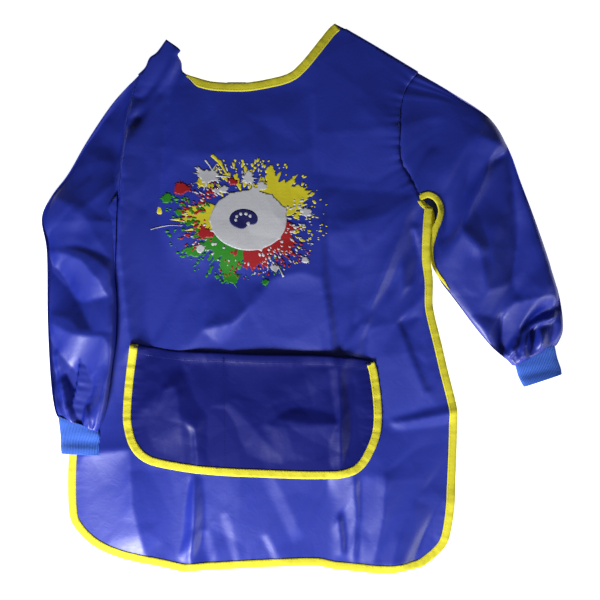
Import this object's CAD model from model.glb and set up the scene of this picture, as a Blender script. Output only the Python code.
# Child's long-sleeved artist smock, laid flat on a pale table and seen from above.
# Lengths in the pattern are millimetres; X runs to the wearer's left, Y to the neck, Z up.

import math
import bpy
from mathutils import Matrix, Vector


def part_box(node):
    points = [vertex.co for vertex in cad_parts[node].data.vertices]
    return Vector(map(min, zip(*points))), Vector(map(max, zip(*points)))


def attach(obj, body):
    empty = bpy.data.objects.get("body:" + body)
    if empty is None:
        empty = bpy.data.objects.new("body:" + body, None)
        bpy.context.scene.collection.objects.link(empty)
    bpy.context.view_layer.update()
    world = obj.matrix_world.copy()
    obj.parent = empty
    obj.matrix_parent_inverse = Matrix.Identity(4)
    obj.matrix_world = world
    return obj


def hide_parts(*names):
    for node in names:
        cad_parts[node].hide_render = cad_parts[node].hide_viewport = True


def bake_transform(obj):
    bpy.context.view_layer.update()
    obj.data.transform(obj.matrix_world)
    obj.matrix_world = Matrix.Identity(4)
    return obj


bl_info = {
    "name": "Artist smock",
    "version": (1, 0, 0),
    "blender": (4, 5, 0),
    "location": "3D View > Sidebar > Smock",
    "description": "Builds a coated painting smock with bound edges, a pocket and knitted cuffs",
    "category": "Add Mesh",
}

import bpy
import numpy as np
from mathutils import Vector
from mathutils.geometry import delaunay_2d_cdt
from mathutils.kdtree import KDTree

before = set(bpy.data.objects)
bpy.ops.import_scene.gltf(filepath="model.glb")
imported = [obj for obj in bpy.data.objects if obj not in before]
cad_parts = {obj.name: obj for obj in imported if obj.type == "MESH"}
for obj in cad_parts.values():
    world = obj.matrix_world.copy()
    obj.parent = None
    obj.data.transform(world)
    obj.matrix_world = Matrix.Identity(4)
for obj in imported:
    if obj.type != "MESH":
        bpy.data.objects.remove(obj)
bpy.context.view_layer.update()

MM = 0.001

# ---- pattern of the laid-out smock ----

NECK = [(40, 329), (32, 322), (17, 303), (-2, 280), (-18, 268), (-47, 261), (-71, 258),
        (-104, 259), (-122, 263), (-138, 269)]
RIGHT_SHOULDER_TOP = [(-138, 269), (-144, 274), (-145, 284), (-149, 292), (-146, 298), (-162, 310)]
RIGHT_SHOULDER = [(-162, 310), (-173, 295), (-182, 288), (-187, 277), (-196, 268)]
RIGHT_ARMHOLE = [(-196, 268), (-204, 240), (-210, 205), (-215, 160), (-218, 118)]
RIGHT_SIDE = [(-218, 118), (-227, 104), (-234, 80), (-239, 50), (-244, 20), (-250, -15),
              (-257, -56), (-266, -110), (-275, -158), (-280, -200), (-280, -255)]
HEM = [(-280, -255), (-272, -277), (-250, -298), (-218, -312), (-175, -321), (-145, -328),
       (-124, -327), (-52, -323), (13, -321), (44, -326), (101, -329), (133, -325), (149, -319),
       (172, -297), (180, -266)]
LEFT_SIDE = [(180, -266), (184, -217), (186, -146), (184, -125), (175, -90), (166, -52),
             (159, -24), (156, -6), (156, 22), (153.5, 43), (153, 61), (154, 88), (156, 109)]
LEFT_ARMHOLE = [(138, 128), (130, 144), (118, 167), (117, 197), (118, 227), (125, 252), (139, 271)]
LEFT_SHOULDER = [(139, 271), (88, 302), (52, 323)]

LEFT_BACK_EDGE = [(50, 316), (36, 306), (20, 288), (2, 270), (-17, 257), (-35, 251), (-48, 247),
                  (-55, 239), (-58, 227), (-58, 200), (-58, 150), (-57, 134), (-52, 119),
                  (-42, 109), (-27, 105), (22, 102), (80, 103), (112, 108), (131, 119)]
RIGHT_BACK_EDGE = [(-213, 119), (-200, 108), (-170, 102), (-120, 100), (-92, 103), (-78, 108),
                   (-68, 118), (-64, 133), (-64, 200), (-64, 232), (-67, 243), (-75, 250),
                   (-87, 253), (-104, 253), (-122, 257), (-136, 264), (-147, 273), (-152, 283),
                   (-157, 293)]

POCKET_EDGE = [(-205, -54), (-211, -94), (-214, -130), (-213, -153), (-205, -178), (-188, -196),
               (-157, -205), (-111, -211), (-53, -214), (17, -216), (51, -214), (74, -202),
               (90, -173), (95, -148), (94, -119), (90, -90), (86, -76)]
POCKET_MOUTH = [(86, -76), (40, -70), (-52, -68), (-100, -66), (-157, -63), (-205, -54)]

# Sections across a sleeve from the armhole to the cuff: the line across it, the height of its
# underside at the start and end of that line, and its own height.
LEFT_SLEEVE = [
    ([(139, 271), (125, 252), (118, 227), (117, 197), (118, 167), (130, 144), (137, 128),
      (141, 119), (145, 119.5), (151, 121.5), (158, 118.5), (163, 111), (164, 103), (161, 93),
      (156.5, 82), (153, 62), (156, 42)], 2.4, 2.4, 6),
    ([(180, 247), (162, 180), (178, 100), (168, 19)], 1.0, 1.0, 11),
    ([(226, 215), (180, 3)], 0.8, 0.8, 15),
    ([(248, 178), (192, -13)], 0.8, 0.8, 17),
    ([(262, 140), (203, -28)], 0.8, 0.8, 17),
    ([(280, 92), (215, -43)], 0.8, 0.8, 16),
    ([(297, 42), (228, -58)], 0.8, 0.8, 16),
    ([(309, 0), (238, -67)], 0.8, 0.8, 16),
    ([(313, -35), (247, -74)], 0.8, 0.8, 14),
    ([(308, -52), (253, -80)], 1.0, 1.0, 11),
    ([(304, -57), (257, -80)], 1.2, 1.2, 9),
]
RIGHT_SLEEVE = [
    ([(-196, 268), (-204, 240), (-210, 205), (-215, 160), (-218, 120)], 2.4, 2.4, 6),
    ([(-226, 236), (-220.5, 105)], 1.2, 3, 10),
    ([(-257, 190), (-221.5, 85)], 1.0, 4, 13),
    ([(-280, 150), (-222, 68)], 1.0, 5, 14),
    ([(-300, 123), (-223, 48)], 1.0, 6, 15),
    ([(-312, 96), (-224, 24)], 1.0, 6.5, 15),
    ([(-306, 56), (-222, 0)], 1.0, 6.5, 15),
    ([(-305, -20), (-223, -50)], 1.0, 6.8, 15),
    ([(-303, -72), (-228, -88)], 1.2, 7.2, 14),
    ([(-300, -110), (-233, -124)], 1.8, 7, 13),
    ([(-296, -134), (-240, -150)], 3.2, 5, 11),
    ([(-292, -143), (-245, -159)], 4.2, 4.6, 9),
]
LEFT_FAR_LINE = LEFT_SLEEVE[0][0][:7] + [
    (141, 117), (144, 114), (148, 110.5), (152, 107), (155, 102), (155.5, 97), (155, 89), (154, 80),
    (152.5, 61), (156, 42)]
VENT_START = 6 / 16  # share of that first line where the armhole ends and the open underarm starts
LEFT_CUFF = [
    ([(303, -55), (256, -78)], 1.2, 1.2, 8.6),
    ([(307, -72), (260, -92)], 0.9, 0.9, 8),
    ([(311, -84), (264, -101)], 0.8, 0.8, 9),
    ([(312, -91), (267, -106)], 0.8, 0.8, 9.6),
]
RIGHT_CUFF = [
    ([(-292, -141), (-244, -158)], 4.2, 4.6, 8.6),
    ([(-289.5, -165), (-241, -175)], 4.2, 4.6, 8),
    ([(-289, -178), (-240, -184)], 4.2, 4.4, 9),
    ([(-288, -186), (-240, -188)], 4.0, 4.2, 9.6),
]

# Folds and facets of the cloth. Each is an outline, or the line of a narrow fold with its width,
# and how much it leans: above 0 towards the near left, below 0 away from it. Later ones lie on top.
FRONT_LEANS = [
    (-1.1, [(-200, 240), (-160, 250), (-166, 200), (-172, 100), (-174, 0), (-182, -60),
     (-205, -60), (-218, 60), (-212, 160)]),
    (-0.9, [(-182, 230), (-162, 240), (-166, 200), (-172, 120), (-190, 110), (-186, 200)]),
    (0.5, 9, [(-152, 296), (-160, 276), (-176, 250), (-198, 216)]),
    (-0.8, 8, [(-148, 288), (-152, 270), (-166, 244)]),
    (-0.15, [(-140, 245), (0, 250), (12, 180), (-10, 170), (-140, 176)]),
    (0.25, [(20, 198), (116, 204), (118, 160), (90, 140), (22, 150)]),
    (0.35, 4, [(14, 245), (15, 200), (16, 150)]),
    (-0.35, [(22, 134), (134, 124), (100, 100), (60, 90), (24, 96)]),
    (0.3, [(30, 80), (70, 82), (76, 58), (60, 40), (44, 38), (30, 56)]),
    (0.35, [(128, 112), (108, 92), (84, 64), (70, 20), (60, -28), (72, -40), (84, -10), (96, 30),
     (112, 70)]),
    (-0.7, [(132, 100), (114, 72), (100, 30), (82, -10), (66, -36), (82, -30), (102, 0), (118, 40),
     (134, 84)]),
    (-0.9, [(120, 60), (138, 98), (142, 60), (134, 20), (122, 10)]),
    (0.9, [(117, -26), (134, -8), (150, 44), (154, 40), (150, 0), (140, -26)]),
    (0.9, 4, [(134, 84), (140, 62), (148, 38)]),
    (0.55, [(-119, -40), (-60, 2), (-40, 24), (0, 32), (24, 24), (34, -20), (38, -80), (-80, -80),
     (-100, -56)]),
    (-0.5, [(-119, -36), (-84, -30), (-60, -6), (-46, 18), (-76, 26), (-110, 22)]),
    (-0.15, [(-124, 40), (-119, -40), (-140, -60), (-146, 0)]),
    (-0.5, 7, [(27, 100), (28, 30), (36, -20), (42, -70)]),
    (0.2, [(46, -80), (36, 0), (32, 40), (60, 20), (56, -20), (66, -80)]),
    (-0.2, [(60, -30), (82, -30), (78, -60), (50, -70)]),
    (0.5, [(80, -36), (118, -28), (136, -60), (150, -100), (160, -128), (100, -146), (92, -120),
     (76, -60)]),
    (-0.6, 6, [(118, -28), (134, -70), (152, -112)]),
    (0.1, [(120, -28), (150, -20), (166, -80), (180, -118), (150, -104)]),
    (-0.6, [(104, -148), (140, -138), (186, -124), (186, -136), (140, -146)]),
    (0.6, [(104, -150), (186, -137), (186, -150), (112, -160)]),
    (-0.15, [(95, -150), (110, -160), (182, -152), (178, -172), (140, -182), (100, -205),
     (90, -190)]),
    (-0.25, [(-238, -44), (-212, -60), (-206, -180), (-252, -182)]),
    (0.65, [(-272, -188), (-206, -180), (-203, -250), (-188, -312), (-240, -304), (-272, -272)]),
    (-0.2, [(-206, -205), (-160, -208), (-150, -250), (-152, -314), (-188, -312), (-203, -250)]),
    (1.0, [(-152, -318), (-146, -270), (-134, -212), (-129, -212), (-129, -250), (-134, -318)]),
    (-0.7, [(-129, -212), (-120, -215), (-114, -318), (-134, -318), (-129, -250)]),
    (0.5, 9, [(-116, -278), (-112, -296), (-106, -316)]),
    (0.45, 10, [(-94, -258), (-86, -290), (-78, -318)]),
    (0.6, 8, [(-46, -284), (-38, -300), (-30, -316)]),
    (0.3, 15, [(-42, -215), (-24, -250), (-4, -292)]),
    (0.8, [(30, -212), (62, -210), (66, -260), (62, -318), (30, -318), (28, -280)]),
    (-0.8, 6, [(46, -258), (50, -282), (50, -306)]),
    (-0.5, 5, [(66, -214), (68, -260), (66, -312)]),
    (0.35, [(70, -212), (104, -212), (98, -260), (86, -318), (68, -318)]),
    (-0.4, [(100, -210), (140, -180), (182, -170), (186, -212), (150, -270), (120, -318),
     (86, -318), (98, -260)]),
    (-0.8, [(118, -280), (146, -230), (184, -190), (186, -214), (150, -276), (130, -318),
     (108, -318)]),
    (0.5, [(186, -222), (182, -266), (162, -302), (136, -316), (152, -275)]),
]
POCKET_LEANS = [
    (-0.5, [(-206, -60), (-150, -66), (-130, -120), (-100, -160), (-84, -206), (-130, -206),
     (-128, -160), (-150, -140), (-196, -130), (-208, -150)]),
    (0.3, [(-168, -108), (-150, -106), (-140, -204), (-160, -204), (-182, -186), (-188, -150)]),
    (1.0, [(-140, -148), (-128, -156), (-126, -208), (-134, -208), (-131, -170)]),
    (-0.7, [(-126, -156), (-116, -170), (-110, -206), (-125, -208)]),
    (0.25, [(-92, -74), (-20, -80), (44, -84), (44, -110), (0, -120), (-40, -130), (-84, -112)]),
    (0.45, [(-110, -130), (-86, -126), (-20, -196), (-30, -208), (-70, -208), (-90, -170)]),
    (-0.7, [(0, -130), (44, -140), (46, -150), (10, -150), (-30, -144), (-20, -134)]),
    (0.3, [(-50, -152), (10, -155), (40, -152), (30, -200), (0, -208), (-26, -190)]),
    (0.9, 5, [(-94, -186), (-86, -200), (-82, -208)]),
    (0.6, 6, [(-56, -188), (-48, -200), (-42, -210)]),
    (0.5, 6, [(-14, -196), (-8, -204), (-4, -212)]),
    (0.8, [(32, -84), (44, -84), (46, -150), (46, -210), (30, -210), (34, -170), (42, -150)]),
    (-0.7, [(46, -90), (56, -110), (60, -170), (48, -208), (46, -150)]),
    (0.4, [(60, -84), (84, -84), (92, -140), (84, -180), (64, -195), (62, -130)]),
]
LEFT_SLEEVE_LEANS = [
    (-0.3, [(118, 272), (138, 272), (140, 240), (138, 150), (118, 160)]),
    (-0.1, [(140, 268), (238, 205), (209, 194), (150, 130), (130, 150)]),
    (0.35, [(209, 195), (249, 180), (242, 202), (224, 216)]),
    (0.6, [(209, 195), (190, 160), (172, 122), (160, 112), (165, 70), (190, 80), (200, 110)]),
    (1.0, [(209, 195), (249, 179), (222, 160), (202, 110), (190, 82), (184, 84), (196, 130)]),
    (-0.5, [(223, 160), (248, 174), (254, 120), (258, 60), (250, 18), (222, 10), (212, 60),
     (190, 82), (204, 112)]),
    (-0.9, [(206, 118), (222, 60), (213, 60), (188, 84)]),
    (0.4, [(250, 176), (262, 140), (302, 40), (306, 8), (262, 0), (252, 20), (260, 80),
     (254, 140)]),
    (0.15, [(160, 60), (190, 80), (212, 60), (218, 10), (208, 0), (160, 36)]),
    (1.0, [(236, -26), (252, -4), (302, 5), (306, -10), (276, -24), (262, -40), (252, -60),
     (240, -60)]),
    (-0.5, [(200, -18), (240, -24), (240, -58), (258, -78), (228, -58)]),
    (-1.8, 6, [(306, -10), (302, -18), (284, -24), (268, -36), (258, -52), (252, -62)]),
    (1.0, 6, [(300, -26), (280, -32), (268, -46), (260, -66)]),
    (-1.6, [(268, -44), (277, -36), (273, -70), (263, -68)]),
    (1.0, [(276, -38), (282, -35), (286, -60), (280, -62)]),
    (-1.0, [(284, -34), (300, -30), (296, -54), (287, -58)]),
    (0.6, [(300, -28), (313, -30), (308, -52), (298, -54)]),
]
RIGHT_SLEEVE_LEANS = [
    (-0.4, [(-196, 270), (-262, 182), (-298, 122), (-262, 108), (-222, 140), (-214, 200)]),
    (0.4, [(-313, 96), (-300, 124), (-262, 102), (-240, 66), (-224, 44), (-248, 48), (-276, 62),
     (-307, 60)]),
    (-0.8, [(-290, 63), (-262, 56), (-240, 44), (-224, 28), (-226, 46), (-244, 55), (-270, 63)]),
    (1.3, [(-307, 58), (-284, 54), (-262, 45), (-240, 20), (-230, 2), (-262, -6), (-276, 4),
     (-286, 20), (-300, 36)]),
    (-0.5, [(-305, 35), (-296, 35), (-280, 14), (-268, -6), (-252, -36), (-262, -40), (-280, -24),
     (-305, -20)]),
    (0.5, [(-266, -8), (-232, 0), (-223, -40), (-248, -40)]),
    (1.0, [(-305, -50), (-305, -28), (-280, -40), (-262, -44), (-236, -44), (-223, -64),
     (-230, -110), (-250, -120), (-262, -108), (-276, -84), (-296, -58)]),
    (-1.8, [(-292, -96), (-284, -90), (-272, -108), (-265, -140), (-270, -158), (-284, -130)]),
    (1.1, 5, [(-298, -68), (-291, -105), (-282, -138)]),
    (-1.2, 4, [(-299, -92), (-295, -118), (-288, -140)]),
    (0.5, [(-268, -110), (-240, -118), (-240, -140), (-250, -162), (-262, -162)]),
    (-1.0, [(-262, -106), (-252, -118), (-262, -122)]),
    (1.1, 5, [(-263, -126), (-260, -142), (-257, -160)]),
    (-1.0, 4, [(-256, -126), (-254, -142), (-252, -158)]),
    (-0.4, [(-223, -70), (-236, -110), (-242, -152), (-236, -152), (-224, -90)]),
]


# ---- curves ----

def curve(points, steps=6):
    """The smooth curve through pattern points."""
    p = np.array(points, float)
    padded = np.vstack([p[:1], p, p[-1:]])
    out = []
    for i in range(len(p) - 1):
        a, b, c, d = padded[i:i + 4]
        for t in np.arange(steps) / steps:
            out.append(0.5 * (2 * b + (c - a) * t + (2 * a - 5 * b + 4 * c - d) * t * t
                              + (3 * b - a - 3 * c + d) * t ** 3))
    return np.array(out + [p[-1]])


def spaced(line, step):
    """A line's points again, an equal distance apart."""
    line = np.asarray(line, float)
    run = np.concatenate([[0], np.cumsum(np.linalg.norm(np.diff(line, axis=0), axis=1))])
    count = max(int(round(run[-1] / step)), 1)
    at = np.linspace(0, run[-1], count + 1)
    return np.stack([np.interp(at, run, line[:, k]) for k in range(line.shape[1])], axis=1)


def run_lengths(line):
    return np.concatenate([[0], np.cumsum(np.linalg.norm(np.diff(line, axis=0), axis=1))])


def left_of(line):
    """Unit vectors pointing to the left of a line in plan."""
    d = np.gradient(line[:, :2], axis=0)
    n = np.stack([-d[:, 1], d[:, 0]], axis=1)
    return n / np.maximum(np.linalg.norm(n, axis=1, keepdims=True), 1e-9)


def smooth(t):
    t = np.clip(t, 0, 1)
    return t * t * (3 - 2 * t)


def nearest(xy, line):
    """Each point's distance to a line, how far along the line that is, and its side of it."""
    a, b = line[:-1], line[1:]
    v = b - a
    length2 = np.maximum((v ** 2).sum(1), 1e-9)
    start = run_lengths(line)[:-1]
    out = np.empty((len(xy), 3))
    for i in range(0, len(xy), 4000):
        p = xy[i:i + 4000, None, :] - a[None]
        t = np.clip((p * v).sum(2) / length2, 0, 1)
        off = p - t[..., None] * v
        d2 = (off ** 2).sum(2)
        k = d2.argmin(1)
        r = np.arange(len(k))
        side = np.sign(v[k, 0] * off[r, k, 1] - v[k, 1] * off[r, k, 0])
        out[i:i + 4000] = np.stack(
            [np.sqrt(d2[r, k]), start[k] + t[r, k] * np.sqrt(length2[k]), side], axis=1)
    return out


def inside(xy, outline):
    """Whether each point lies within a closed outline."""
    x, y = xy[:, 0], xy[:, 1]
    hit = np.zeros(len(xy), bool)
    for (x0, y0), (x1, y1) in zip(outline, np.roll(outline, -1, axis=0)):
        if y0 != y1:
            hit ^= ((y0 > y) != (y1 > y)) & (x < (x1 - x0) * (y - y0) / (y1 - y0) + x0)
    return hit


# ---- relief of the cloth ----

CREASE_ROUND = 1.6


def crease_height(xy, crease):
    """A ridge with flat flanks, highest half-way along, with a slightly rounded top."""
    points, height, left, right = crease
    line = np.array(points, float)
    box_low, box_high = line.min(0) - max(left, right), line.max(0) + max(left, right)
    near = ((xy > box_low) & (xy < box_high)).all(1)
    z = np.zeros(len(xy))
    if near.any():
        d, s, side = nearest(xy[near], line).T
        width = np.where(side > 0, left, right)
        share = s / run_lengths(line)[-1]
        ends = np.minimum(1, np.minimum(share, 1 - share) / 0.22)
        d = np.sqrt(d * d + CREASE_ROUND ** 2) - CREASE_ROUND
        z[near] = height * ends ** 0.8 * np.clip(1 - d / width, 0, 1) ** 1.25
    return z


def random_creases(seed, low, high, count, height, length=(40, 130), width=(10, 26)):
    """Light creases left by folding and handling."""
    rng = np.random.default_rng(seed)
    out = []
    for _ in range(count):
        c = rng.uniform(low, high)
        a = rng.uniform(0, math.pi)
        half = rng.uniform(*length) / 2
        d = np.array([math.cos(a), math.sin(a)]) * half
        bend = rng.uniform(-0.15, 0.15) * half * np.array([-d[1], d[0]]) / half
        out.append(([c - d, c + bend, c + d], rng.choice([-1, 1]) * rng.uniform(0.35, 1) * height,
                    rng.uniform(*width), rng.uniform(*width)))
    return out


def strip(line, width):
    """The outline of a band along a line."""
    line = spaced(curve(line), 3)
    side = left_of(line) * width / 2
    return np.vstack([line + side, (line - side)[::-1]])


class Relief:
    """Heights whose slope, seen from the light's side, follows a list of leaning folds."""
    away = np.array([0.56, 0.83]) / math.hypot(0.56, 0.83)
    cell = 2.0
    margin = 60
    soften = 1.5
    sideways = 0.03  # how strongly a fold keeps from sloping along its own length
    flatness = 0.0006  # how strongly broad heights are held down

    def __init__(self, leans, low, high, slope):
        self.low = np.array(low, float) - self.margin
        count = np.ceil((np.array(high) + self.margin - self.low) / self.cell).astype(int)
        x = self.low[0] + np.arange(count[0]) * self.cell
        y = self.low[1] + np.arange(count[1]) * self.cell
        xy = np.stack(np.meshgrid(x, y, indexing="ij"), axis=2).reshape(-1, 2)
        lean = np.zeros(len(xy))
        for fold in leans:
            edge = np.array(fold[1], float) if len(fold) == 2 else strip(fold[2], fold[1])
            box = ((xy >= edge.min(0)) & (xy <= edge.max(0))).all(1)
            place = np.where(box)[0]
            lean[place[inside(xy[place], edge)]] = fold[0]
        kx, ky = np.meshgrid(*(2 * math.pi * np.fft.fftfreq(n, self.cell) for n in count),
                             indexing="ij")
        along = kx * self.away[0] + ky * self.away[1]
        across = kx * self.away[1] - ky * self.away[0]
        wanted = np.fft.fft2(slope * lean.reshape(count))
        wanted *= np.exp(-(kx ** 2 + ky ** 2) * self.soften ** 2 / 2)
        firmness = along ** 2 + self.sideways * across ** 2 + self.flatness
        self.z = np.fft.ifft2(-1j * along * wanted / firmness).real

    def __call__(self, xy):
        at = (xy - self.low) / self.cell
        at = np.clip(at, 0, np.array(self.z.shape) - 1.001)
        i = at.astype(int)
        s, t = (at - i).T
        z, (a, b) = self.z, i.T
        return ((1 - s) * (1 - t) * z[a, b] + s * (1 - t) * z[a + 1, b]
                + (1 - s) * t * z[a, b + 1] + s * t * z[a + 1, b + 1])


def facet_net(seed, low, high, spacing, height):
    """Flat facets of handled cloth: a net of triangles with a height at each knot."""
    rng = np.random.default_rng(seed)
    low, high = np.array(low) - spacing, np.array(high) + spacing
    xs = np.arange(low[0], high[0] + spacing, spacing)
    ys = np.arange(low[1], high[1] + spacing, spacing)
    knots = np.array([(x, y) for x in xs for y in ys])
    knots = knots + rng.uniform(-0.42, 0.42, knots.shape) * spacing
    out, _, faces, _, _, _ = delaunay_2d_cdt([Vector(k) for k in knots], [], [], 0, 1e-6)
    knots = np.array([tuple(k) for k in out])
    return knots, [list(f) for f in faces], rng.uniform(-height, height, len(knots))


def facet_height(xy, net):
    knots, faces, heights = net
    z = np.zeros(len(xy))
    for f in faces:
        a, b, c = knots[f]
        box = ((xy >= knots[f].min(0)) & (xy <= knots[f].max(0))).all(1)
        if not box.any():
            continue
        p = xy[box] - a
        u, v = b - a, c - a
        d = u[0] * v[1] - u[1] * v[0]
        s = (p[:, 0] * v[1] - p[:, 1] * v[0]) / d
        t = (u[0] * p[:, 1] - u[1] * p[:, 0]) / d
        hit = (s >= 0) & (t >= 0) & (s + t <= 1)
        z[np.where(box)[0][hit]] = (heights[f[0]] + s * (heights[f[1]] - heights[f[0]])
                                    + t * (heights[f[2]] - heights[f[0]]))[hit]
    return z


def waves(s, seed, lengths):
    """A wavy line without a pattern, between about -1 and 1."""
    rng = np.random.default_rng(seed)
    total = sum(np.sin(2 * math.pi * s / l + rng.uniform(0, 6.3)) for l in lengths)
    return total / len(lengths) ** 0.6


def swell(xy, seed, size):
    """Broad, gentle unevenness."""
    rng = np.random.default_rng(seed)
    z = np.zeros(len(xy))
    for _ in range(7):
        a, l = rng.uniform(0, math.pi), size * rng.uniform(0.6, 1.7)
        z += np.sin(2 * math.pi * (xy @ [math.cos(a), math.sin(a)]) / l + rng.uniform(0, 6.3))
    return z / 7


FRONT_RANDOM = random_creases(11, (-270, -320), (180, 280), 26, 1.0, (50, 150), (14, 34))
POCKET_RANDOM = random_creases(12, (-205, -210), (90, -75), 8, 0.9, (30, 70), (9, 20))
LEFT_RANDOM = random_creases(13, (140, -90), (310, 260), 16, 1.3, (30, 90), (9, 24))
RIGHT_RANDOM = random_creases(14, (-312, -160), (-200, 270), 16, 1.3, (30, 90), (9, 24))
BACK_RANDOM = random_creases(15, (-215, 100), (140, 320), 30, 0.8, (30, 90), (8, 20))
FRONT_AREA = ((-285, -330), (190, 330))
POCKET_AREA = ((-215, -217), (96, -52))
SLEEVE_AREA = ((-316, -190), (316, 285))
FRONT_NETS = [facet_net(41, *FRONT_AREA, 82, 2.0), facet_net(42, *FRONT_AREA, 34, 1.0)]
POCKET_NETS = [facet_net(43, *POCKET_AREA, 44, 0.8), facet_net(44, *POCKET_AREA, 19, 0.4)]
SLEEVE_NETS = [facet_net(45, *SLEEVE_AREA, 58, 1.4), facet_net(46, *SLEEVE_AREA, 23, 0.7)]
FRONT_RELIEF = Relief(FRONT_LEANS, *FRONT_AREA, 0.5)
POCKET_RELIEF = Relief(POCKET_LEANS, *POCKET_AREA, 0.46)
LEFT_RELIEF = Relief(LEFT_SLEEVE_LEANS, (115, -80), (315, 275), 0.7)
RIGHT_RELIEF = Relief(RIGHT_SLEEVE_LEANS, (-315, -165), (-195, 275), 0.52)

HEM_RUN = spaced(curve(RIGHT_SIDE + HEM[1:] + LEFT_SIDE[1:]), 2.5)
NECK_RUN = spaced(curve(NECK), 2.5)
ARMHOLE_RUN = spaced(curve(LEFT_ARMHOLE), 2.5)
RIGHT_ARMHOLE_RUN = spaced(curve(RIGHT_ARMHOLE), 2.5)
POCKET_RUN = spaced(curve(POCKET_EDGE), 2.5)


def edge_puckers(xy, line, seed, height, reach):
    d, s, _ = nearest(xy, line).T
    return height * np.exp(-d / reach) * waves(s, seed, (9, 14, 23, 37))


def front_z(xy):
    """Height of the front's upper face."""
    xy = np.atleast_2d(np.asarray(xy, float))
    z = 5.0 + 5.6 * smooth((xy[:, 1] - 10) / 80) + 0.6 * swell(xy, 1, 150) + FRONT_RELIEF(xy)
    z += sum(facet_height(xy, net) for net in FRONT_NETS)
    for c in FRONT_RANDOM:
        z = z + crease_height(xy, c)
    z += edge_puckers(xy, HEM_RUN, 2, 0.4, 9) + edge_puckers(xy, NECK_RUN, 3, 0.4, 7)
    z += edge_puckers(xy, ARMHOLE_RUN, 4, 0.9, 9) + edge_puckers(xy, RIGHT_ARMHOLE_RUN, 5, 0.3, 9)
    for run, depth in ((ARMHOLE_RUN, 1.1), (RIGHT_ARMHOLE_RUN, 0.4)):
        z -= depth * np.exp(-(nearest(xy, run)[:, 0] / 2.4) ** 2)
    return 2.1 + np.logaddexp(0, (z - 2.1) / 0.9) * 0.9


def pocket_z(xy):
    """Height of the pocket's upper face; it follows the front and stands a little off it."""
    xy = np.atleast_2d(np.asarray(xy, float))
    d, s, _ = nearest(xy, POCKET_RUN).T
    full = smooth(d / 45)
    z = front_z(xy) + 1.0 + 1.6 * full
    z += full ** 0.5 * (POCKET_RELIEF(xy) + sum(facet_height(xy, net) for net in POCKET_NETS))
    for c in POCKET_RANDOM:
        z = z + full ** 0.5 * crease_height(xy, c)
    z += 0.7 * np.exp(-d / 9) * waves(s, 7, (8, 13, 21))
    m, t, _ = nearest(xy, spaced(curve(POCKET_MOUTH), 2.5)).T
    ripple = 0.5 + 0.5 * np.sin(2 * math.pi * t / 8.6 + 1.2 * np.sin(t / 19))
    z += 0.2 * ripple * np.exp(-((m - 9) / 4.5) ** 2) * smooth((200 - abs(xy[:, 0] + 60)) / 120)
    z += 1.2 * smooth((14 - m) / 10)
    return np.maximum(z, front_z(xy) + 0.8)


def back_z(xy):
    """Height of the back panels' upper face, against the table."""
    xy = np.atleast_2d(np.asarray(xy, float))
    z = 2.3 + 0.5 * swell(xy, 8, 90)
    for c in BACK_RANDOM:
        z = z + crease_height(xy, c)
    return np.clip(z, 1.8, 3.8)


# ---- meshes ----

TAPE_SINK = 0.2  # how far tape lies below the cloth's upper face
TAPE_STITCHES_AT = 0.8  # share of the tape's width where its stitches run
SLEEVE_ROWS, SLEEVE_COLUMNS = 190, 90
ARMHOLE_LENGTH = 190
PLEATS = 5.3  # gathers across a sleeve at its cuff
ARMHOLE_REACH = 42  # distance over which a sleeve takes on its own height
RIGHT_SLEEVE_TILT = 11  # rise from its outer edge to the edge on the body


def new_object(name, points, faces, material):
    """A mesh object at the origin from points in millimetres."""
    mesh = bpy.data.meshes.new(name)
    mesh.from_pydata((np.asarray(points, float) * MM).tolist(), [],
                     [list(map(int, f)) for f in faces])
    mesh.validate()
    mesh.polygons.foreach_set("use_smooth", [True] * len(mesh.polygons))
    mesh.materials.append(material)
    mesh.update()
    obj = bpy.data.objects.new(name, mesh)
    bpy.context.scene.collection.objects.link(obj)
    return obj


def fill(outlines, spacing):
    """Triangles over one or more closed outlines, with a fine lattice inside."""
    points, loops = [], []
    for line in outlines:
        loops.append(list(range(len(points), len(points) + len(line))))
        points.extend(map(tuple, line))
    every = np.array(points, float)
    low, high = every.min(0), every.max(0)
    rows = np.arange(low[1], high[1], spacing * 0.866)
    lattice = []
    for k, y in enumerate(rows):
        xs = np.arange(low[0] + (spacing / 2 if k % 2 else 0), high[0], spacing)
        lattice.append(np.stack([xs, np.full_like(xs, y)], axis=1))
    lattice = np.vstack(lattice)
    keep = np.zeros(len(lattice), bool)
    for line in outlines:
        line = np.asarray(line, float)
        box = ((lattice > line.min(0)) & (lattice < line.max(0))).all(1)
        if box.any():
            sub = np.where(box)[0]
            ok = inside(lattice[sub], line)
            ok &= nearest(lattice[sub], np.vstack([line, line[:1]]))[:, 0] > 0.45 * spacing
            keep[sub[ok]] = True
    verts = [Vector(p) for p in points] + [Vector(p) for p in lattice[keep]]
    out, _, faces, _, _, _ = delaunay_2d_cdt(verts, [], loops, 1, 1e-5)
    return np.array([tuple(p) for p in out]), [list(f) for f in faces]


def with_thickness(xy, faces, top, bottom):
    """A closed sheet between two heights given for each point."""
    n = len(xy)
    points = np.vstack([np.column_stack([xy, top]), np.column_stack([xy, bottom])])
    edges = {}
    for f in faces:
        for a, b in zip(f, f[1:] + f[:1]):
            if (b, a) in edges:
                del edges[(b, a)]
            else:
                edges[(a, b)] = True
    area = sum(xy[f[0]][0] * (xy[f[1]][1] - xy[f[2]][1]) + xy[f[1]][0] * (xy[f[2]][1] - xy[f[0]][1])
               + xy[f[2]][0] * (xy[f[0]][1] - xy[f[1]][1]) for f in faces[:50])
    up = area > 0
    all_faces = [f if up else f[::-1] for f in faces]
    all_faces += [[v + n for v in (f[::-1] if up else f)] for f in faces]
    for a, b in edges:
        all_faces.append([b, a, a + n, b + n] if up else [a, b, b + n, a + n])
    return points, all_faces


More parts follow.
